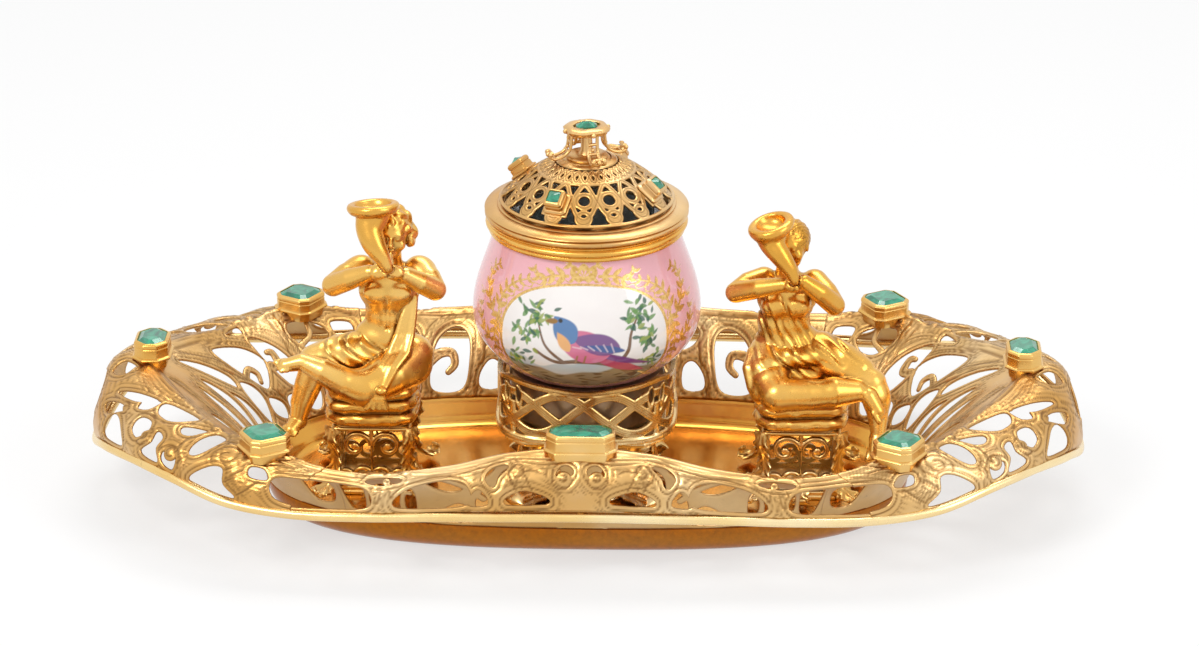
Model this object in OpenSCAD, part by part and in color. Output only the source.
// Desk inkstand of gilt brass: a pierced, scalloped tray with a porcelain
// inkwell on a strapwork stand, a hinged lid and two seated horn players.
// Origin: middle of the underside of the tray. X runs along the tray, Y to its back.

/* [Tray] */
// Length of the tray, over the middle of the rolled edge
edge_len = 370; // [350:1:400]
// Depth of the tray, over the middle of the rolled edge
edge_dep = 170; // [165:1:190]
// Length of the tray along its crest
crest_len = 334; // [324:1:342]
// Depth of the tray at the highest part of the crest
crest_dep = 156; // [150:1:160]
// Length of the plain basin at its rim
basin_len = 242; // [232:1:252]
// Depth of the plain basin at its rim
basin_dep = 122; // [118:1:128]
// Height of the rim of the plain basin
basin_h = 11; // [9:0.5:14]
// How far the foot of the basin lies inside its rim
basin_flare = 5; // [3:0.5:8]
// Thickness of the floor of the basin
floor_t = 2; // [1.6:0.1:3]
// Thickness of the wall of the basin
wall_t = 1.4; // [1:0.1:2]
// Height that all points of the crest are raised by
crest_lift = 0; // [-3:0.5:6]
// Diameter of the rolled edge
bead_d = 4; // [3:0.1:5]

/* [Pierced gallery] */
// Thickness of the pierced metal
gallery_t = 1.3; // [1:0.1:2]

/* [Stones on the crest] */
// Length of the stones at front and back
long_stone = 23; // [18:0.5:27]
// Length of the stones at the ends
end_stone = 16; // [12:0.5:20]
// Side of the stones at the corners
corner_stone = 14; // [11:0.5:17]
// Depth of the stones at front, back and ends
stone_dep = 11; // [8:0.5:13]
// Height of the box settings on the crest
setting_h = 6.5; // [5:0.1:8]
// Thickness of the walls of the settings
setting_t = 0.9; // [0.7:0.1:1.4]

/* [Inkwell stand] */
// Half the width of the strapwork drum at its rims
drum_r = 33; // [30:0.5:35]
// Height of the underside of the drum above the floor of the basin
drum_z = 30; // [27:0.5:32]
// Height of the drum
drum_h = 22; // [20:0.5:24]
// Width of the straps of the drum
strap_w = 3; // [2:0.1:4]
// Reach of the feet of the stand from its middle
foot_reach = 40; // [37:0.5:46]
// Radius of the cup that carries the bowl
cup_r = 29; // [26:0.5:30]

/* [Bowl and liner] */
// Greatest radius of the bowl
bowl_r = 42.5; // [40:0.5:45]
// Height of the bowl
bowl_h = 58.5; // [55:0.5:62]
// Thickness of the porcelain
bowl_t = 3; // [2.5:0.1:4]
// How far the ink liner lies within the rim of the lid
liner_inset = 10.7; // [10.7:0.1:14]
// Depth of the ink liner
liner_h = 40; // [30:0.5:44]
// Thickness of the glass of the liner
liner_t = 2; // [1.5:0.1:3]
// Diameter of the rod that holds the bowl, cup and tray together
rod_d = 5; // [4:0.1:6]

/* [Lid] */
// Outer radius of the rim of the lid
lid_r = 37.7; // [37:0.1:39]
// How far the lid stands out over the neck of the bowl
lid_overhang = 3.9; // [3.5:0.1:4.4]
// Height of the rim of the lid
lid_rim_h = 3.4; // [3:0.1:4.5]
// Width of the flat ring round the pierced dome
dome_inset = 5.7; // [5.3:0.1:7.5]
// Rise of the pierced dome
dome_h = 17; // [14:0.5:20]
// Side of the stones on the lid
lid_stone = 5.4; // [4.5:0.1:7]
// Height of the finial
finial_h = 13; // [11:0.5:16]
// Diameter of the hinge pin
hinge_pin_d = 1.8; // [1.5:0.1:2.2]
// How far the lid is opened
lid_angle = 0; // [0:5:105]

/* [Figures] */
// Distance between the middles of the two plinths
figures_apart = 161; // [155:1:168]
// Side of the top of a plinth
plinth_w = 30; // [27:0.5:32]
// Height of a plinth
plinth_h = 28; // [24:0.5:30]
// Side of a seat
seat_w = 35; // [31:0.5:37]
// Height of a seat
seat_h = 16; // [13:0.5:18]
// Size of a figure against its design height
figure_size = 1; // [0.9:0.01:1.08]

/* [Clearances] */
// Gap between pieces that are soldered or laid on each other
seam = 0.1; // [0.05:0.01:0.2]
// Running clearance of the hinge pin on its radius
hinge_clear = 0.06; // [0.03:0.01:0.1]

/* [Hidden] */
$fn = 64;
GOLD = [0.86, 0.66, 0.28];
DEEP_GOLD = [0.83, 0.55, 0.15];
GREEN = [0.05, 0.50, 0.36];

// ---------- general helpers ----------
function unit(v) = v / norm(v);
function spread(n) = [for (i = [0:n]) i / n];
function bend(f, k) = f + (sin(90 * f) - f) * k;
function ease(f, k) = f + (1 - cos(90 * f) - f) * k;
function signed_pow(v, p) = sign(v) * pow(abs(v), p);
function superellipse(a, b, n, t) = [a * signed_pow(cos(t), 2 / n), b * signed_pow(sin(t), 2 / n)];

// Skin over rings of points, each ring running anticlockwise about the way ahead.
// A ladder ring goes out along one face of a sheet and back along the other.
module skin(rings, closed = false, ladder = false) {
  n = len(rings[0]);
  m = len(rings);
  last = closed ? m - 1 : m - 2;
  end = (m - 1) * n;
  sides = [for (i = [0:last]) for (j = [0:n - 1])
    let (a = i * n + j, b = i * n + (j + 1) % n)
    let (c = ((i + 1) % m) * n + (j + 1) % n, d = ((i + 1) % m) * n + j)
    each [[a, d, c], [a, c, b]]];
  rungs = [for (j = [0:n / 2 - 2]) each [[j, j + 1, n - 2 - j], [j, n - 2 - j, n - 1 - j],
    [end + j + 1, end + j, end + n - 2 - j], [end + j, end + n - 1 - j, end + n - 2 - j]]];
  flat = [[for (j = [0:n - 1]) j], [for (j = [n - 1:-1:0]) end + j]];
  ends = closed ? [] : ladder ? rungs : flat;
  polyhedron(points = [for (r = rings) each r], faces = concat(sides, ends), convexity = 6);
}

// Direction square to a surface function at p = [across, up]
function surface_normal(srf, p) = let (e = 0.01)
  unit(cross(srf(p[0] + e, p[1]) - srf(p[0] - e, p[1]), srf(p[0], p[1] + e) - srf(p[0], p[1] - e)));

// Round tube through points, with a radius at each
module tube(pts, radii, sides = 8, up = [0, 1, 0.2]) {
  n = len(pts);
  skin([for (i = [0:n - 1])
    let (ahead = unit(pts[min(i + 1, n - 1)] - pts[max(i - 1, 0)]))
    let (side = unit(cross(up, ahead)), top = cross(ahead, side))
    [for (j = [0:sides - 1]) let (a = 360 * j / sides) pts[i] + radii[i] * (side * cos(a) + top * sin(a))]]);
}

// ---------- the rails that the tray is built on ----------
// One quarter of each rail from back to end: share of half length, share of half depth, height
crest_knots = [[0, 0.917, 46.5], [0.147, 0.93, 44.5], [0.282, 0.974, 40.5], [0.43, 1, 38.5],
  [0.552, 0.968, 39], [0.683, 0.86, 43.5], [0.79, 0.692, 44.5], [0.87, 0.461, 46],
  [0.945, 0.231, 49], [1, 0, 51.5]];
edge_knots = [[0, 0.988, 26.5], [0.146, 0.994, 26.5], [0.281, 1, 26.5], [0.422, 0.997, 26],
  [0.562, 0.97, 25.8], [0.692, 0.9, 27.5], [0.8, 0.765, 31.5], [0.886, 0.59, 32],
  [0.962, 0.329, 27.5], [1, 0, 20]];
QUARTER = len(crest_knots) - 1;
TURN = 4 * QUARTER;
SEAM_AT = 4;
function knot(k, i) = let (m = (i + TURN) % TURN)
  m <= QUARTER ? k[m] :
  m <= 2 * QUARTER ? [k[2 * QUARTER - m][0], -k[2 * QUARTER - m][1], k[2 * QUARTER - m][2]] :
  m <= 3 * QUARTER ? [-k[m - 2 * QUARTER][0], -k[m - 2 * QUARTER][1], k[m - 2 * QUARTER][2]] :
  [-k[TURN - m][0], k[TURN - m][1], k[TURN - m][2]];
function rail(k, length, depth, lift, u) =
  let (i = floor(u), f = u - i)
  let (p0 = knot(k, i - 1), p1 = knot(k, i), p2 = knot(k, i + 1), p3 = knot(k, i + 2))
  let (q = 0.5 * (2 * p1 + (p2 - p0) * f + (2 * p0 - 5 * p1 + 4 * p2 - p3) * f * f
    + (3 * p1 - 3 * p2 + p3 - p0) * f * f * f))
  [q[0] * length / 2, q[1] * depth / 2, q[2] + lift];
function crest(u) = rail(crest_knots, crest_len, crest_dep, crest_lift, u);
function edge(u) = rail(edge_knots, edge_len, edge_dep, crest_lift, u);
BASIN_N = 2.7;
function basin_ring(inset, z, u) =
  concat(superellipse(basin_len / 2 - inset, basin_dep / 2 - inset, BASIN_N, 90 - 360 * u / TURN), [z]);

// Surface of the gallery: 0 at the basin, 1 on the crest, 2 at the rolled edge.
// The wall bows a little, and the flange bulges most at the two ends.
WALL_BOW = 0.45;
FLANGE_BOW = 1;
END_BULGE = 0.4;
function flange_bow(u) = FLANGE_BOW + END_BULGE * pow(sin(90 * u / QUARTER), 6);
// How far the end settings stand in from the end of the crest
END_INSET = 4;
function seat_point(u) = let (c = crest(u), at_end = u % (2 * QUARTER) == QUARTER)
  [c[0] - (at_end ? sign(c[0]) * END_INSET : 0), c[1], c[2]];
function gallery(u, s) = s <= 1 ?
  let (b = basin_ring(wall_t / 2, basin_h + seam, u), c = crest(u), h = ease(s, WALL_BOW), v = bend(s, WALL_BOW))
    [b[0] + (c[0] - b[0]) * h, b[1] + (c[1] - b[1]) * h, b[2] + (c[2] - b[2]) * v] :
  let (c = crest(u), e = edge(u), h = bend(s - 1, flange_bow(u)), v = ease(s - 1, flange_bow(u)))
    [c[0] + (e[0] - c[0]) * h, c[1] + (e[1] - c[1]) * h, c[2] + (e[2] - c[2]) * v];
GALLERY = function (u, s) gallery(u, s);

// ---------- tray ----------
BASIN_STEPS = 48;
function basin_rings(list) = [for (r = list)
  [for (i = [BASIN_STEPS - 1:-1:0]) basin_ring(r[0], r[1], i * TURN / BASIN_STEPS)]];
module tray_basin() {
  color(DEEP_GOLD) difference() {
    skin(basin_rings([[basin_flare, 0], [0, basin_h]]));
    skin(basin_rings([[basin_flare + wall_t + 1, floor_t], [wall_t, basin_h], [wall_t - basin_flare / 9, basin_h + 1]]));
    for (x = [-1, 1]) for (y = [-1, 1])
      screw_hole([x * figures_apart / 2 + y * SCREW_OFF, y * SCREW_OFF, 0], SCREW_D);
    screw_hole([0, 0, 0], rod_d);
  }
}
SCREW_D = 3;
SCREW_OFF = 8;
SCREW_HEAD = 1.2;
module screw_hole(at, d) {
  translate(at) translate([0, 0, -1]) cylinder(d = d + 2 * seam, h = floor_t + 2, $fn = 24);
  translate(at) translate([0, 0, -1]) cylinder(d = 2 * d + 2 * seam, h = SCREW_HEAD + 1, $fn = 24);
}

module rolled_edge() {
  steps = 52;
  sides = 6;
  color(DEEP_GOLD) skin([for (i = [0:steps - 1])
    let (u = i * TURN / steps, p = edge(u), ahead = unit(edge(u + 0.05) - edge(u - 0.05)))
    let (side = unit(cross([0, 0, 1], ahead)), top = cross(ahead, side))
    [for (j = [0:sides - 1]) let (a = 360 * (j + 0.5) / sides)
      p + bead_d / 2 * (side * cos(a) + top * sin(a))]], true);
}

// ---------- gallery ----------
// Section of the sheet: [place from basin to edge, thickness against the rest]
SHEET = [[0, 1.2], [0.4, 1], [0.8, 1], [1, 1.6], [1.2, 1], [1.6, 1], [2, 1.2]];
EDGE_GAP = 0.65;
function edge_stop(u) = 2 - (bead_d / 2 + EDGE_GAP) / (1.08 * norm(edge(u) - crest(u)));
function sheet_point(u, k, face) =
  let (s = min(k[0], edge_stop(u)), p = gallery(u, s) + surface_normal(GALLERY, [u, s]) * face * gallery_t * k[1] / 2)
  [p[0], p[1], max(p[2], basin_h + seam)];
function sheet_ring(u) = concat([for (k = SHEET) sheet_point(u, k, -1)],
  [for (i = [len(SHEET) - 1:-1:0]) sheet_point(u, SHEET[i], 1)]);
module sheet(mid, half) {
  n = round(half * 2.2);
  gap = seam / 25;
  u0 = mid - half + gap;
  u1 = mid + half - gap;
  skin([for (f = spread(n)) sheet_ring(u0 + (u1 - u0) * f)], ladder = true);
}
// Cuts the outline of its children square through the sheet; k of -1 gives the mirrored place
module pierce(mid, k, v, s, turn = 0) {
  u = mid + k * v;
  e = 0.02;
  p = gallery(u, s);
  nrm = surface_normal(GALLERY, [u, s]);
  up = unit(gallery(u, s + e) - gallery(u, s - e));
  along = cross(up, nrm);
  multmatrix([for (i = [0:2]) [along[i], up[i], nrm[i], p[i]]])
    mirror([k < 0 ? 1 : 0, 0, 0]) rotate(turn) linear_extrude(CUT, center = true) children();
}
CUT = 9;
// Leaf-shaped opening, wide towards its tip
module leaf(length, width) {
  hull() {
    translate([0, length / 2 - width / 2]) rotate(90) circle(d = width, $fn = 5);
    translate([0, -length / 2 + 0.8]) square(1.4, center = true);
  }
}
// Crescent opening round a volute
module crescent(r, w, a0, a1) {
  polygon(concat([for (f = spread(3)) let (a = a0 + (a1 - a0) * f) r * [cos(a), sin(a)]],
    [for (f = [0.7, 0.3]) let (a = a0 + (a1 - a0) * f, q = r - w * sin(180 * f)) q * [cos(a), sin(a)]]));
}
// Openings of half of a long side, from its middle to the seam
module long_half(mid, k) {
  // flange: volutes below the stone, open arch, splayed bracket, leaf and volute
  pierce(mid, k, 0.42, 1.45) crescent(6, 3.4, -60, 200);
  pierce(mid, k, 1.1, 1.45) crescent(7, 4, -20, 240);
  pierce(mid, k, 1.12, 1.45, 60) leaf(6, 3.4);
  pierce(mid, k, 1.68, 1.47, -24) leaf(16, 8);
  pierce(mid, k, 2.3, 1.47, 24) leaf(16, 8);
  pierce(mid, k, 2.86, 1.45, 70) leaf(15, 6);
  pierce(mid, k, 3.5, 1.45) crescent(7, 4, -40, 220);
  // wall: hooked scroll, crossed bars, leaves and volute
  pierce(mid, k, 0.45, 0.55) crescent(10, 5.5, -80, 170);
  pierce(mid, k, 0.42, 0.52, 30) leaf(8, 4.5);
  pierce(mid, k, 1.05, 0.5, 180) leaf(17, 7);
  pierce(mid, k, 1.82, 0.5) leaf(17, 7);
  pierce(mid, k, 1.44, 0.76, 90) leaf(12, 6);
  pierce(mid, k, 1.44, 0.24, 270) leaf(12, 6);
  pierce(mid, k, 2.3, 0.5, 8) leaf(25, 7);
  pierce(mid, k, 2.7, 0.48, -12) leaf(23, 6);
  pierce(mid, k, 3.2, 0.52) crescent(9, 5, 20, 280);
  pierce(mid, k, 3.7, 0.5, 6) leaf(25, 6.5);
}
// Openings of half of an end, from its middle to the seam
module end_half(mid, k) {
  // flange: small volutes at the tip, arch, spreading leaves and volutes
  pierce(mid, k, 0.55, 1.42) crescent(7.5, 4, -60, 200);
  pierce(mid, k, 1.35, 1.47, -8) leaf(24, 11);
  pierce(mid, k, 2.0, 1.47, 16) leaf(24, 7);
  pierce(mid, k, 2.65, 1.45) crescent(8, 4.5, -30, 230);
  pierce(mid, k, 3.22, 1.47, -14) leaf(20, 7);
  pierce(mid, k, 3.72, 1.47, 14) leaf(19, 7);
  pierce(mid, k, 4.45, 1.45) crescent(7, 4, -40, 220);
  // wall: long leaves that spread from the basin, between volutes
  pierce(mid, k, 0.4, 0.5, 3) leaf(36, 9);
  pierce(mid, k, 1.0, 0.52, -4) leaf(38, 10);
  pierce(mid, k, 1.75, 0.66) crescent(9.5, 5, -60, 200);
  pierce(mid, k, 1.72, 0.22) leaf(13, 6);
  pierce(mid, k, 2.4, 0.52, -5) leaf(34, 9);
  pierce(mid, k, 3.0, 0.52, 5) leaf(31, 8);
  pierce(mid, k, 3.72, 0.58) crescent(9.5, 5, -60, 200);
  pierce(mid, k, 3.72, 0.2) leaf(10, 6);
  pierce(mid, k, 4.45, 0.5, 4) leaf(25, 8);
}
// Pad that a setting stands on
PAD_T = 1.4;
module pad(u, x, y) {
  p = seat_point(u);
  translate([p[0], p[1], p[2] - 2]) rotate(setting_turn(u)) linear_extrude(2 + PAD_T) cut_square(x, y, 2.5);
}
function setting_turn(u) = u % QUARTER == 0 ? (u % (2 * QUARTER) == 0 ? 0 : 90) :
  let (c = crest(u)) atan2(c[1], c[0]) + 90;
module cut_square(x, y, c) {
  polygon([[x / 2 - c, y / 2], [-x / 2 + c, y / 2], [-x / 2, y / 2 - c], [-x / 2, -y / 2 + c],
    [-x / 2 + c, -y / 2], [x / 2 - c, -y / 2], [x / 2, -y / 2 + c], [x / 2, y / 2 - c]]);
}
module gallery_long(mid) {
  color(GOLD) difference() {
    union() {
      sheet(mid, SEAM_AT);
      pad(mid, long_stone, stone_dep);
    }
    for (k = [-1, 1]) long_half(mid, k);
  }
}
module gallery_end(mid) {
  color(GOLD) difference() {
    union() {
      sheet(mid, QUARTER - SEAM_AT);
      pad(mid, end_stone, stone_dep);
      for (k = [-1, 1]) pad(mid + k * CORNER_AT, corner_stone, corner_stone);
    }
    for (k = [-1, 1]) end_half(mid, k);
  }
}
CORNER_AT = 4;
module gallery_front() gallery_long(2 * QUARTER);
module gallery_back() gallery_long(0);
module gallery_left() gallery_end(3 * QUARTER);
module gallery_right() gallery_end(QUARTER);

// ---------- box settings and stones of the crest ----------
module at_crest(u) {
  p = seat_point(u);
  translate([p[0], p[1], p[2] + PAD_T + seam]) rotate(setting_turn(u)) children();
}
module setting(x, y, c, h) {
  w = 2 * (setting_t + seam);
  color(GOLD) difference() {
    union() {
      linear_extrude(h) cut_square(x + w, y + w, c);
      linear_extrude(0.8) cut_square(x + w + 1.6, y + w + 1.6, c);
    }
    translate([0, 0, h - STONE_DEEP]) linear_extrude(h) cut_square(x + 2 * seam, y + 2 * seam, c - 0.5);
  }
}
STONE_DEEP = 3;
STONE_PROUD = 1.2;
// Step-cut stone: plain girdle, one slope, flat table
module stone(x, y, c, h) {
  base = h - STONE_DEEP + seam / 2;
  color(GREEN) hull() {
    translate([0, 0, base]) linear_extrude(STONE_DEEP - 0.4) cut_square(x, y, c - 0.5);
    translate([0, 0, h + STONE_PROUD - 0.1]) linear_extrude(0.1) cut_square(x - 4, y - 4, c - 0.5);
  }
}
module long_setting(u) at_crest(u) setting(long_stone, stone_dep, 3.5, setting_h);
module end_setting(u) at_crest(u) setting(end_stone, stone_dep, 3.5, setting_h);
module corner_setting(u) at_crest(u) setting(corner_stone, corner_stone, 2.5, setting_h * 0.9);
module long_gem(u) at_crest(u) stone(long_stone, stone_dep, 3.5, setting_h);
module end_gem(u) at_crest(u) stone(end_stone, stone_dep, 3.5, setting_h);
module corner_gem(u) at_crest(u) stone(corner_stone, corner_stone, 2.5, setting_h * 0.9);
BACK_RIGHT = QUARTER - CORNER_AT;
FRONT_RIGHT = QUARTER + CORNER_AT;
FRONT_LEFT = 3 * QUARTER - CORNER_AT;
BACK_LEFT = 3 * QUARTER + CORNER_AT;
module setting_front() long_setting(2 * QUARTER);
module setting_back() long_setting(0);
module setting_left() end_setting(3 * QUARTER);
module setting_right() end_setting(QUARTER);
module setting_front_left() corner_setting(FRONT_LEFT);
module setting_front_right() corner_setting(FRONT_RIGHT);
module setting_back_left() corner_setting(BACK_LEFT);
module setting_back_right() corner_setting(BACK_RIGHT);
module stone_front() long_gem(2 * QUARTER);
module stone_back() long_gem(0);
module stone_left() end_gem(3 * QUARTER);
module stone_right() end_gem(QUARTER);
module stone_front_left() corner_gem(FRONT_LEFT);
module stone_front_right() corner_gem(FRONT_RIGHT);
module stone_back_left() corner_gem(BACK_LEFT);
module stone_back_right() corner_gem(BACK_RIGHT);

// ---------- stand of the inkwell ----------
FOOT_Z = floor_t + seam;
PLATE_Z = floor_t + drum_z - 3;
DRUM_Z = floor_t + drum_z;
DRUM_TOP = DRUM_Z + drum_h;
PLATE_R = 30;
module stand_foot() {
  color(GOLD) union() {
    // square plate with cut corners under the drum
    translate([0, 0, PLATE_Z]) linear_extrude(3 - seam) difference() {
      cut_square(2 * PLATE_R, 2 * PLATE_R, 7);
      circle(d = rod_d + 2 * seam, $fn = 32);
    }
    // base ring on the floor of the basin
    translate([0, 0, FOOT_Z]) linear_extrude(2) difference() {
      circle(r = 20, $fn = 32);
      circle(r = 12, $fn = 32);
    }
    // eight bent leaves from the base ring out and up to the plate
    for (a = [0:45:359]) rotate(a) foot_leaf(a % 90 == 0 ? foot_reach - 5 : foot_reach, a % 90 == 0 ? 10 : 12);
  }
}
// Bent leaf as a chain of flat bars: [distance from the middle, height, width]
module foot_leaf(reach, w) {
  t = 2;
  low = FOOT_Z + t / 2;
  path = [[17, low, 0.8 * w], [reach - 3, low, w], [reach - 1.5, low + 2.2, w], [reach - 9, low + 5, 0.9 * w],
    [26, low + 11, 0.7 * w], [25.5, PLATE_Z + 0.6, w]];
  for (i = [0:len(path) - 2]) hull() {
    foot_bar(path[i], t);
    foot_bar(path[i + 1], t);
  }
}
module foot_bar(p, t) translate([p[0], 0, p[1]]) cube([t, p[2], t], center = true);

// Four-cornered drum of crossed straps between two rims
module drum_outline(r) polygon([for (a = [0:7.5:359]) superellipse(r, r, 3.4, a)]);
module drum_band(z, h, r, t) {
  translate([0, 0, z]) linear_extrude(h) difference() {
    drum_outline(r);
    drum_outline(r - t);
  }
}
module stand_drum() {
  rim = 2.6;
  net_h = drum_h - 2 * rim;
  pitch = 0.42 * drum_r;
  color(GOLD) difference() {
    union() {
      drum_band(DRUM_Z, rim, drum_r, 3);
      drum_band(DRUM_Z + rim, net_h, drum_r - 1.2, 1.6);
      drum_band(DRUM_TOP - rim, rim, drum_r, 3);
    }
    for (q = [0:3]) rotate(90 * q) translate([0, -drum_r + 6, DRUM_Z + drum_h / 2]) rotate([90, 0, 0]) linear_extrude(9) {
      for (x = [-1:1]) translate([x * pitch, 0]) strap_eye(pitch - strap_w, net_h - strap_w);
      for (x = [-1.5:1:1.5]) for (y = [-1, 1]) translate([x * pitch, y * net_h / 2]) rotate(90 - 90 * y)
        polygon([[-pitch / 2 + strap_w * 0.8, -0.6], [pitch / 2 - strap_w * 0.8, -0.6], [0, -net_h / 2 + strap_w]]);
    }
  }
}
// Opening between two crossed straps
module strap_eye(w, h) polygon([[-w / 2, 0], [-w * 0.3, h * 0.3], [0, h * 0.42], [w * 0.3, h * 0.3], [w / 2, 0],
  [w * 0.3, -h * 0.3], [0, -h * 0.42], [-w * 0.3, -h * 0.3]]);

CUP_Z = DRUM_Z + 0.3;
BOWL_Z = DRUM_TOP - 3;
module stand_cup() {
  wall = 1.5;
  color([0.25, 0.22, 0.18]) rotate_extrude() polygon([[rod_d / 2 + seam, CUP_Z - 0.2], [cup_r - 3, CUP_Z - 0.2],
    [cup_r, CUP_Z + 3], [cup_r, BOWL_Z + 0.5], [cup_r - wall, BOWL_Z + 0.5], [cup_r - wall, BOWL_Z - seam],
    [cup_r - wall - 5, BOWL_Z - seam], [cup_r - wall - 5, BOWL_Z - 2], [cup_r - wall, BOWL_Z - 2 - seam],
    [cup_r - wall, CUP_Z + 3.4], [cup_r - 3.6, CUP_Z + 1.3], [rod_d / 2 + seam, CUP_Z + 1.3]]);
}
ROD_TOP = BOWL_Z + bowl_t + 6;
module centre_rod() {
  color(DEEP_GOLD) union() {
    translate([0, 0, 0.1]) cylinder(d = 2 * rod_d, h = SCREW_HEAD - 0.2);
    translate([0, 0, 0.1]) cylinder(d = rod_d, h = ROD_TOP);
  }
}
module rod_washer() {
  color(DEEP_GOLD) translate([0, 0, BOWL_Z + bowl_t + seam]) difference() {
    cylinder(r = 8, h = 1);
    translate([0, 0, -1]) cylinder(r = rod_d / 2 + seam, h = 3);
  }
}
module rod_nut() {
  color(DEEP_GOLD) translate([0, 0, BOWL_Z + bowl_t + 1 + 2 * seam]) difference() {
    cylinder(r = 5, h = 3.4, $fn = 6);
    translate([0, 0, -1]) cylinder(r = rod_d / 2 + seam, h = 6);
  }
}

// ---------- bowl, collar and liner ----------
MOUTH_Z = BOWL_Z + bowl_h;
neck_r = lid_r - lid_overhang;
liner_r = lid_r - liner_inset;
dome_r = lid_r - dome_inset;
// Outer line of the bowl as [share of the way from foot to neck, radius]
function bowl_line(f) =
  let (belly = 0.39, foot = cup_r - 5)
  f < belly ? foot + (bowl_r - foot) * pow(sin(90 * f / belly), 0.72)
    : neck_r + (bowl_r - neck_r) * pow(0.5 + 0.5 * cos(180 * (f - belly) / (1 - belly)), 0.8);
module bowl() {
  n = 28;
  outer = [for (f = spread(n)) [bowl_line(f), BOWL_Z + bowl_h * f]];
  inner = [for (f = spread(n)) [bowl_line(f) - bowl_t, BOWL_Z + bowl_t + (bowl_h - bowl_t) * f]];
  color([0.93, 0.62, 0.68]) rotate_extrude($fn = 96) polygon(concat(
    [[rod_d / 2 + 2 * seam, BOWL_Z]], outer, [for (i = [n:-1:0]) inner[i]], [[rod_d / 2 + 2 * seam, BOWL_Z + bowl_t]]));
}
COLLAR_T = 1.6;
COLLAR_H = 3.6;
PART_Z = MOUTH_Z + COLLAR_T;
module bowl_collar() {
  r = bowl_line(1 - (COLLAR_H - COLLAR_T) / bowl_h) + seam;
  top = PART_Z - seam;
  color(DEEP_GOLD) union() {
    rotate_extrude($fn = 96) polygon([[r, MOUTH_Z - COLLAR_H + COLLAR_T], [r + 1.2, MOUTH_Z - COLLAR_H + COLLAR_T],
      [lid_r - 1.2, MOUTH_Z - 1.2], [lid_r - 0.5, MOUTH_Z - 0.4], [lid_r - 0.5, top - 0.3], [lid_r - 0.8, top],
      [liner_r + 0.6, top], [liner_r + 0.6, MOUTH_Z + seam], [r, MOUTH_Z + seam]]);
    for (x = [-1, 1]) hinge_arm(x * KNUCKLE, -1);
  }
}
LINER_Z = PART_Z + seam;
module ink_liner() {
  lip = 2.2;
  color([0.85, 0.9, 0.92, 0.5]) rotate_extrude($fn = 64) polygon([[0, LINER_Z - liner_h], [liner_r - 3, LINER_Z - liner_h],
    [liner_r - 0.3, LINER_Z - liner_h + 3], [liner_r - 0.3, LINER_Z], [liner_r + lip, LINER_Z], [liner_r + lip, LINER_Z + 1.2],
    [liner_r - liner_t, LINER_Z + 1.2], [liner_r - liner_t, LINER_Z - liner_h + 4],
    [liner_r - liner_t - 2.5, LINER_Z - liner_h + liner_t], [0, LINER_Z - liner_h + liner_t]]);
}

// ---------- hinge of the lid ----------
KNUCKLE = 4.2;
KNUCKLE_W = 4;
HINGE_R = hinge_pin_d / 2 + 1.2;
HINGE_Y = lid_r + HINGE_R + 0.25;
// Knuckle and the arm that joins it to the collar (side -1) or to the rim of the lid (side 1)
module hinge_arm(x, side) {
  bore = hinge_pin_d / 2 + (side > 0 ? hinge_clear : 0.01);
  translate([x - KNUCKLE_W / 2, HINGE_Y, PART_Z]) rotate([90, 0, 90]) difference() {
    union() {
      cylinder(r = HINGE_R, h = KNUCKLE_W);
      mirror([0, side < 0 ? 1 : 0, 0]) translate([-HINGE_R - 1.8, 0.3, 0]) cube([HINGE_R + 1.8, HINGE_R - 0.5, KNUCKLE_W]);
    }
    translate([0, 0, -1]) cylinder(r = bore, h = KNUCKLE_W + 2);
  }
}
module hinge_pin() {
  half = KNUCKLE + KNUCKLE_W / 2 + 0.4;
  color(DEEP_GOLD) translate([-half, HINGE_Y, PART_Z]) rotate([0, 90, 0]) cylinder(d = hinge_pin_d, h = 2 * half);
}
// Everything on the lid turns about the hinge
module on_lid() {
  translate([0, HINGE_Y, PART_Z]) rotate([-lid_angle, 0, 0]) translate([0, -HINGE_Y, -PART_Z]) children();
}

// ---------- lid ----------
LID_Z = PART_Z + seam;
DOME_Z = LID_Z + lid_rim_h + 1.4;
module lid_rim() {
  color(GOLD) on_lid() union() {
    rotate_extrude($fn = 96) polygon([[dome_r - 2, LID_Z + 1.6], [liner_r + 3.4, LID_Z + 1.6], [liner_r + 3.4, LID_Z],
      [lid_r - 0.7, LID_Z], [lid_r, LID_Z + 0.8], [lid_r, LID_Z + lid_rim_h - 1], [lid_r - 1, LID_Z + lid_rim_h],
      [dome_r + 0.5, DOME_Z - seam], [dome_r - 2, DOME_Z - seam]]);
    hinge_arm(0, 1);
  }
}
DOME_TOP_R = 9;
DOME_T = 1.4;
// Outer line of the dome: h runs from the foot (0) to the crown (1)
function dome_point(a, h) =
  let (r = dome_r - (dome_r - DOME_TOP_R) * h, z = DOME_Z + 0.9 + (dome_h - 1.5) * (0.55 * sin(90 * h) + 0.45 * h))
  [r * cos(a), r * sin(a), z];
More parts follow.
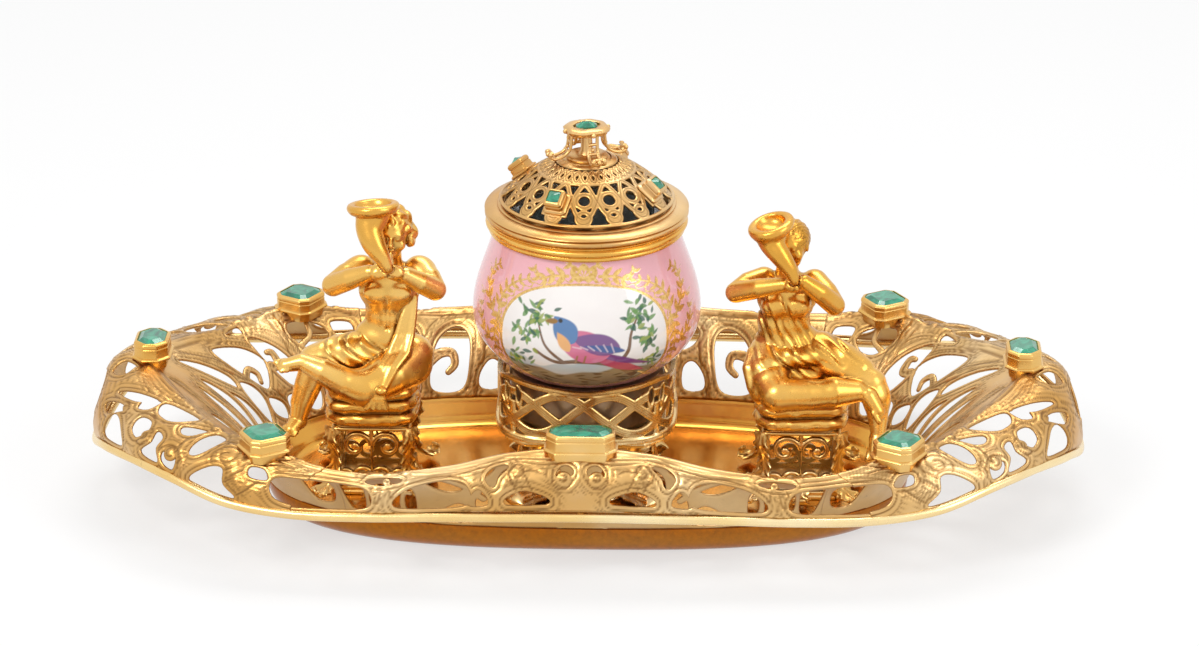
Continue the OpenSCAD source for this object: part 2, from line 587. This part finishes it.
// Opening seen from above: a lens between two radii, half as wide as w degrees each way
module dome_eye(r0, r1, w) polygon([for (p = [[r0, 0], [(r0 * 2 + r1) / 3, w], [(r0 + 2 * r1) / 3, w], [r1, 0],
  [(r0 + 2 * r1) / 3, -w], [(r0 * 2 + r1) / 3, -w]]) p[0] * [cos(p[1]), sin(p[1])]]);
module lid_dome() {
  line = [for (h = spread(6)) let (p = dome_point(0, h)) [p[0], p[2]]];
  color(GOLD) on_lid() difference() {
    union() {
      rotate_extrude($fn = 96) polygon(concat([[dome_r, DOME_Z]], line, [[0, CROWN_Z], [0, CROWN_Z - 1.4 * DOME_T]],
        [for (i = [6:-1:0]) [line[i][0] - DOME_T, line[i][1] - DOME_T * 0.7]], [[dome_r - DOME_T, DOME_Z]]));
      for (i = [0:3]) at_lid_stone(i, -DOME_T) linear_extrude(DOME_T + LID_PAD_T) square(lid_stone + 3.6, center = true);
    }
    translate([0, 0, DOME_Z - 1]) linear_extrude(dome_h + 4) {
      for (a = [0:18:359]) rotate(LID_STONE_TURN + 9 + a) dome_eye(0.83 * dome_r, 0.94 * dome_r, 6);
      for (q = [0:90:359]) for (a = [26, 45, 64]) rotate(LID_STONE_TURN + q + a) dome_eye(0.54 * dome_r, 0.8 * dome_r, 6.5);
      for (a = [0:22.5:359]) rotate(LID_STONE_TURN + a) dome_eye(0.42 * dome_r, 0.53 * dome_r, 6);
    }
  }
}
CROWN_Z = DOME_Z + dome_h;
LID_STONE_AT = 0.3;
LID_STONE_TURN = 67;
FINIAL_TURN = 20;
// Direction square to the dome at the stones, seen in the plane of the radius
LID_TILT = let (e = 0.05, a = dome_point(0, LID_STONE_AT - e), b = dome_point(0, LID_STONE_AT + e)) atan2(a[0] - b[0], b[2] - a[2]);
module at_lid_stone(i, lift) {
  p = dome_point(0, LID_STONE_AT);
  rotate(LID_STONE_TURN + 90 * i) translate(p) rotate([0, 90 - LID_TILT, 0]) translate([0, 0, lift]) children();
}
LID_PAD_T = 1.1;
LID_SETTING_H = 4.2;
module lid_setting(i) {
  w = lid_stone + 2 * (setting_t + seam);
  color(GOLD) on_lid() at_lid_stone(i, LID_PAD_T + seam) difference() {
    union() {
      linear_extrude(LID_SETTING_H) square(w, center = true);
      linear_extrude(1) square(w + 1.6, center = true);
    }
    translate([0, 0, LID_SETTING_H - 1.8]) linear_extrude(5) square(lid_stone + 2 * seam, center = true);
  }
}
module lid_gem(i) {
  color(GREEN) on_lid() at_lid_stone(i, LID_PAD_T + seam) hull() {
    translate([0, 0, LID_SETTING_H - 1.8 + seam / 2]) linear_extrude(1.6) square(lid_stone, center = true);
    translate([0, 0, LID_SETTING_H + 0.7]) linear_extrude(0.1) square(lid_stone - 2, center = true);
  }
}
module lid_setting_1() lid_setting(0);
module lid_setting_2() lid_setting(1);
module lid_setting_3() lid_setting(2);
module lid_setting_4() lid_setting(3);
module lid_stone_1() lid_gem(0);
module lid_stone_2() lid_gem(1);
module lid_stone_3() lid_gem(2);
module lid_stone_4() lid_gem(3);

// ---------- finial ----------
FINIAL_TOP = CROWN_Z + finial_h;
FINIAL_R = 8;
module finial() {
  leg_t = 1.6;
  leg_w = 5;
  color(GOLD) on_lid() union() {
    translate([0, 0, CROWN_Z + seam]) cylinder(r = DOME_TOP_R - 1.5, h = 1.2);
    for (i = [0:3]) rotate(FINIAL_TURN + 90 * i) finial_leg(leg_t, leg_w);
    translate([0, 0, FINIAL_TOP - 3]) difference() {
      rotate_extrude() polygon([[0, 0], [FINIAL_R - 1.5, 0], [FINIAL_R, 1], [FINIAL_R, 2], [FINIAL_R - 0.8, 3], [0, 3]]);
      translate([0, 0, 1.4]) linear_extrude(4) cut_square(8 + 2 * seam, 5.6 + 2 * seam, 1.2);
    }
  }
}
module finial_leg(t, w) {
  z0 = CROWN_Z + seam;
  z1 = FINIAL_TOP - 2.6;
  rotate([90, 0, 0]) difference() {
    translate([0, 0, -w / 2]) linear_extrude(w) polygon([[5, z0], [8.5, z0], [11, z0 + 0.2], [13.5, z0 + 0.4], [15.3, z0 + 2],
      [14.6, z0 + 3], [12.5, z0 + 1.8], [9.6, z0 + 3.2], [7.6, z0 + 6], [7.2, z1], [5.6, z1], [5.8, z0 + 5.6], [6.4, z0 + 3]]);
    // slots through the leg: one above, one below the bend
    translate([4, z0 + 4.6, -w / 2 + 1.3]) cube([6, z1 - z0 - 6, w - 2.6]);
  }
}
module finial_stone() {
  color(GREEN) on_lid() translate([0, 0, FINIAL_TOP - 1.6 + seam / 2]) hull() {
    linear_extrude(1.5) cut_square(8, 5.6, 1.2);
    translate([0, 0, 2.1]) linear_extrude(0.1) cut_square(5, 3, 0.8);
  }
}

// ---------- plinths and seats ----------
PLINTH_Z = floor_t + seam;
PLINTH_TOP = PLINTH_Z + plinth_h;
module plinth(side) {
  w = plinth_w;
  z0 = PLINTH_Z + 1.6;
  panel_h = plinth_h - 3.2;
  color(GOLD) translate([side * figures_apart / 2, 0, 0]) difference() {
    union() {
      translate([-w / 2, -w / 2, PLINTH_TOP - 1.8]) cube([w, w, 1.8]);
      translate([-w / 2 + 2, -w / 2 + 2, PLINTH_Z]) cube([w - 4, w - 4, 1.8]);
      for (q = [0:3]) rotate(90 * q) plinth_panel(w - 4, z0, panel_h);
      for (q = [0:3]) rotate(45 + 90 * q) plinth_leaf(w);
    }
    for (y = [-1, 1]) translate([y * SCREW_OFF, y * SCREW_OFF, PLINTH_Z - 1]) cylinder(d = SCREW_D, h = 3, $fn = 24);
  }
}
// Pierced side: a pair of volutes that meet, over a row of openings
module plinth_panel(w, z0, h) {
  translate([0, -w / 2 + 2, z0]) rotate([90, 0, 0]) linear_extrude(2) difference() {
    translate([-w / 2, 0]) square([w, h]);
    for (k = [-1, 1]) {
      translate([k * 5.6, h - 7]) difference() {
        circle(4.4, $fn = 32);
        translate([k * 1.4, -0.6]) circle(2, $fn = 24);
        translate([k * 3.4, -0.4]) square([4, 1.6], center = true);
      }
      translate([k * 10.6, h - 2.6]) circle(1.2, $fn = 16);
      translate([k * 4, 5]) scale([1, 1.5]) circle(2.4, $fn = 32);
      translate([k * 9.6, 5]) scale([1, 1.5]) circle(1.8, $fn = 32);
    }
  }
}
module plinth_leaf(w) {
  r = w / 2 * 1.28;
  b = PLINTH_Z;
  t = PLINTH_TOP - 0.6;
  rotate([90, 0, 0]) translate([0, 0, -4.5]) linear_extrude(9) polygon([[r - 3, b], [r + 9, b], [r + 11.5, b + 2.5],
    [r + 10, b + 4], [r + 6.5, b + 3.4], [r + 3, b + 7], [r + 1, b + 13], [r + 1.6, t - 5], [r + 1, t], [r - 2.4, t],
    [r - 2, t - 5], [r - 1.8, b + 12], [r - 1, b + 5], [r - 3, b + 3]]);
}
module plinth_left() plinth(-1);
module plinth_right() plinth(1);
module plinth_screws() {
  color(DEEP_GOLD) for (x = [-1, 1]) for (y = [-1, 1])
    translate([x * figures_apart / 2 + y * SCREW_OFF, y * SCREW_OFF, 0]) {
      translate([0, 0, 0.1]) cylinder(d = 2 * SCREW_D, h = SCREW_HEAD - 0.2, $fn = 24);
      translate([0, 0, 0.1]) cylinder(d = SCREW_D - 0.02, h = PLINTH_Z + 1.6, $fn = 24);
    }
}

SEAT_Z = PLINTH_TOP + seam;
SEAT_TOP = SEAT_Z + seat_h;
// Pile of folded drapery: each layer bulges
module seat(side) {
  layers = 3;
  color(DEEP_GOLD) translate([side * figures_apart / 2, 0, 0]) skin([for (i = [0:layers * 2])
    let (z = SEAT_Z + seat_h * i / (layers * 2), r = seat_w / 2 - (i % 2 == 0 ? 2.4 : 0))
    [for (j = [0:11]) concat(superellipse(r, r, 4, 30 * j), [z])]]);
}
module seat_left() seat(-1);
module seat_right() seat(1);

// ---------- figures ----------
BALL = 8;
module ball(p, r) translate(p) sphere(r = r, $fn = r > 4.5 ? BALL : BALL - 2);
// Limb along a line of [place, radius] joints
module limb(joints) {
  for (i = [0:len(joints) - 2]) hull() {
    ball(joints[i][0], joints[i][1]);
    ball(joints[i + 1][0], joints[i + 1][1]);
  }
}
module figure_frame(side) {
  translate([side * figures_apart / 2, 0, SEAT_TOP + seam]) scale(figure_size) children();
}
// Body of a figure: its children, less the room that the seat and the horn take
module figure(side) {
  color(DEEP_GOLD) figure_frame(side) difference() {
    union() children();
    translate([0, 0, -seat_h]) linear_extrude(seat_h - seam / 2) square(seat_w + 0.4, center = true);
    horn_tube(side < 0 ? HORN_LEFT : HORN_RIGHT, 0.25);
  }
}
// Ring of twelve points round a level section of the body: [middle, half width, half depth]
function body_ring(r) = [for (j = [0:11]) [r[0][0] + r[1] * cos(30 * j), r[0][1] + r[2] * sin(30 * j), r[0][2]]];
module body(rings) skin([for (r = rings) body_ring(r)]);
// Bare youth: torso, head with curls, raised arms, cloth over the lap and crossed legs
module figure_left() {
  figure(-1) {
    body([[[1, 0, 0], 17, 15], [[1, -1, 5], 18, 15], [[3, 0, 10], 17, 12], [[5, 0, 15], 12, 9], [[6.5, 0, 21], 8.6, 7],
      [[7, -1, 27], 9.4, 7.6], [[7, -1.5, 34], 11.4, 8.4], [[7.5, -2, 40], 12, 8], [[7.5, -2, 44], 7.5, 5],
      [[8, -3, 48], 4.2, 4.2], [[8, -4, 52], 4, 4]]);
    translate([8.5, -6, 58.5]) scale([0.86, 0.95, 1.1]) sphere(r = 8.6, $fn = 12);
    translate([8, -3.5, 61]) scale([1, 1, 0.86]) sphere(r = 9.8, $fn = 10);
    limb([[[-4, -1, 42], 4.6], [[-15, -8, 35], 3.8], [[1.7, -16, 46], 2.5], [[6, -19, 47.5], 2]]);
    limb([[[19, -2, 42], 4.6], [[26, -9, 34], 3.8], [[13.8, -16, 45], 2.5], [[10, -19, 47.5], 2]]);
    limb([[[17, -2, 8.5], 8], [[-3, -20, 2.5], 6.4], [[-14, -21, 7], 4.8], [[-23, -19, 12], 2.8], [[-33, -20, 10], 3.4]]);
    limb([[[-3, -2, 9], 8], [[-20, -11, 9], 6.4], [[-24.5, -13, -3], 4.6], [[-26.5, -15, -13], 2.4], [[-30, -20, -15], 2]]);
    limb([[[17, -7, 30], 2.4], [[15, -15, 14], 4], [[7, -22, 1], 2.6]]);
  }
}
// Draped woman: gathered dress, hair drawn back, raised arms and crossed legs under the skirt
module figure_right() {
  figure(1) {
    body([[[-1, 0, 0], 17, 15], [[-1, -1, 5], 18.4, 15], [[-3, 0, 10], 17, 12], [[-6, 0, 16], 12.6, 9], [[-7.5, 0, 21], 10, 7.6],
      [[-7, -1, 28], 10, 8], [[-6, -1.5, 34], 11, 8.6], [[-6, -2, 38], 11, 7.6], [[-6, -2, 41], 6.5, 5],
      [[-6.5, -2.5, 45], 3.8, 3.8], [[-6.5, -3, 48], 3.6, 3.6]]);
    translate([-6, -5, 54.5]) scale([0.86, 0.95, 1.1]) sphere(r = 8, $fn = 12);
    translate([-6.5, -2, 57]) scale([1, 1.05, 0.84]) sphere(r = 9, $fn = 10);
    limb([[[-16, -1, 39], 4.2], [[-27, -7, 34.4], 3.6], [[-6.5, -16, 43], 2.4], [[-4, -18.5, 44], 2]]);
    limb([[[5, -2, 38.5], 4.2], [[12, -12, 32], 3.6], [[-0.8, -17, 45], 2.4], [[-3, -19, 46], 2]]);
    limb([[[-12, -3, 8], 8], [[-9.7, -20, 1], 6.6], [[8, -21, 2], 5.4], [[21, -18, 2], 3], [[29, -21, -5], 2.6]]);
    limb([[[8, -2, 9], 8.4], [[26, -12, 3], 6], [[27.5, -14, -6], 4.4], [[28.5, -18, -17], 2.6], [[27.5, -20, -22], 2]]);
    limb([[[-14, -6, 34], 2.6], [[-4, -9, 22], 3], [[7, -7, 14], 4]]);
  }
}
// Horns: [place, radius] joints from the mouthpiece to the bell
HORN_LEFT = [[[8, -16, 52.5], 1], [[8, -19.5, 48.5], 1.5], [[5, -19, 54], 2.4], [[3.2, -17.5, 60], 3.4], [[2.6, -14.5, 66], 5.4],
  [[2.9, -11.5, 70], 9.6]];
HORN_RIGHT = [[[-4.4, -15.5, 49], 1], [[-4, -19, 44.5], 1.5], [[-7.2, -18.5, 50], 2.4], [[-10.2, -17, 55.5], 3.4],
  [[-11.6, -14, 60.5], 5.4], [[-11.5, -12, 64.5], 9.6]];
module horn_tube(joints, extra = 0) {
  tube([for (j = joints) j[0]], [for (j = joints) j[1] + extra], 12, [1, 0, 0]);
}
// Curved horn with a hollow bell that opens upwards
module horn(side, joints) {
  last = len(joints) - 1;
  color(DEEP_GOLD) figure_frame(side) difference() {
    horn_tube(joints);
    tube([joints[last - 2][0], joints[last - 1][0], joints[last][0], joints[last][0] + [0.1, 1, 1.6]], [1, 3.8, 8.4, 10.5], 12, [1, 0, 0]);
  }
}
module horn_left() horn(-1, HORN_LEFT);
module horn_right() horn(1, HORN_RIGHT);

tray_basin();
rolled_edge();
gallery_front();
gallery_back();
gallery_left();
gallery_right();
setting_front();
setting_back();
setting_left();
setting_right();
setting_front_left();
setting_front_right();
setting_back_left();
setting_back_right();
stone_front();
stone_back();
stone_left();
stone_right();
stone_front_left();
stone_front_right();
stone_back_left();
stone_back_right();
stand_foot();
stand_drum();
stand_cup();
centre_rod();
rod_washer();
rod_nut();
bowl();
bowl_collar();
ink_liner();
lid_rim();
lid_dome();
finial();
finial_stone();
lid_setting_1();
lid_setting_2();
lid_setting_3();
lid_setting_4();
lid_stone_1();
lid_stone_2();
lid_stone_3();
lid_stone_4();
hinge_pin();
figure_left();
figure_right();
horn_left();
horn_right();
seat_left();
seat_right();
plinth_left();
plinth_right();
plinth_screws();
